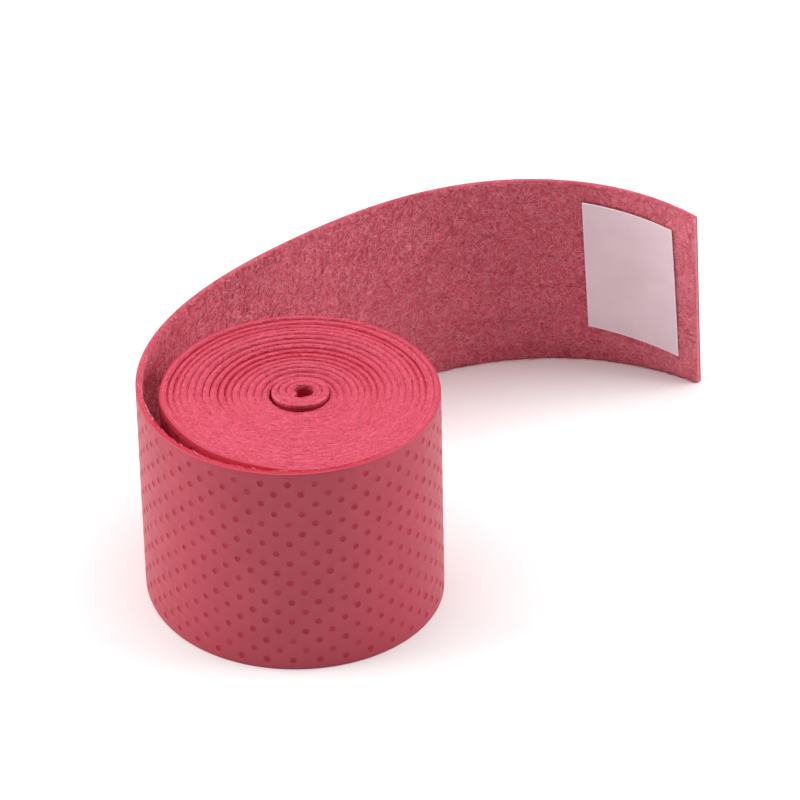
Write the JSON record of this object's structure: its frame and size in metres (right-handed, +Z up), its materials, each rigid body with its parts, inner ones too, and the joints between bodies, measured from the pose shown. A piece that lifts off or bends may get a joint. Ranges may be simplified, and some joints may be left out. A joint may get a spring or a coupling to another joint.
{
  "type": "grip tape roll",
  "caption": "Roll of cushioned, dimpled grip tape standing on edge, its felt-backed free end uncurled behind it with a release liner over an adhesive patch.",
  "frame": {"origin": "middle of the underside of the bounding box of the roll and its free end", "axes": "+Z up along the roll's axis; the tape's free end runs out behind the roll (+Y) and towards +X"},
  "size_m": [0.0624, 0.0594, 0.025],
  "materials": {
    "skin": "satin polyurethane film embossed with small round dimples",
    "felt": "fuzzy non-woven felt",
    "adhesive": "tacky clear acrylic on a thin film",
    "liner": "smooth satin release paper"
  },
  "bodies": {
    "roll": {"skin_roll": "skin", "felt_roll": "felt"},
    "tail_1": {"skin_tail_1": "skin", "felt_tail_1": "felt"},
    "tail_2": {"skin_tail_2": "skin", "felt_tail_2": "felt"},
    "tail_3": {"skin_tail_3": "skin", "felt_tail_3": "felt"},
    "tail_4": {"skin_tail_4": "skin", "felt_tail_4": "felt", "adhesive_patch": "adhesive"},
    "liner": {"release_liner": "liner"}
  },
  "joints": [
    {"name": "tail_1_flex", "type": "hinge", "parent": "roll", "child": "tail_1", "pos_m": [-0.03085, -0.01147, 0.0125], "axis": [0, 0, 1], "range_deg": [-10, 25], "stiffness_Nm_per_rad": 0.0002},
    {"name": "tail_2_flex", "type": "hinge", "parent": "tail_1", "child": "tail_2", "pos_m": [-0.025, 0.00503, 0.0125], "axis": [0, 0, 1], "range_deg": [-10, 25], "stiffness_Nm_per_rad": 0.0002},
    {"name": "tail_3_flex", "type": "hinge", "parent": "tail_2", "child": "tail_3", "pos_m": [-0.01251, 0.01779, 0.0125], "axis": [0, 0, 1], "range_deg": [-10, 25], "stiffness_Nm_per_rad": 0.0002},
    {"name": "tail_4_flex", "type": "hinge", "parent": "tail_3", "child": "tail_4", "pos_m": [0.0029, 0.02689, 0.01251], "axis": [0, 0, 1], "range_deg": [-10, 25], "stiffness_Nm_per_rad": 0.0002},
    {"name": "liner_peel", "type": "hinge", "parent": "tail_4", "child": "liner", "pos_m": [0.0181, 0.02701, 0.01398], "axis": [0.0493, 0.0867, -0.995], "range_deg": [0, 110]}
  ],
  "couplings": [
    {"joint": "tail_2_flex", "follows": "tail_1_flex", "ratio": 1},
    {"joint": "tail_3_flex", "follows": "tail_1_flex", "ratio": 1},
    {"joint": "tail_4_flex", "follows": "tail_1_flex", "ratio": 1}
  ]
}
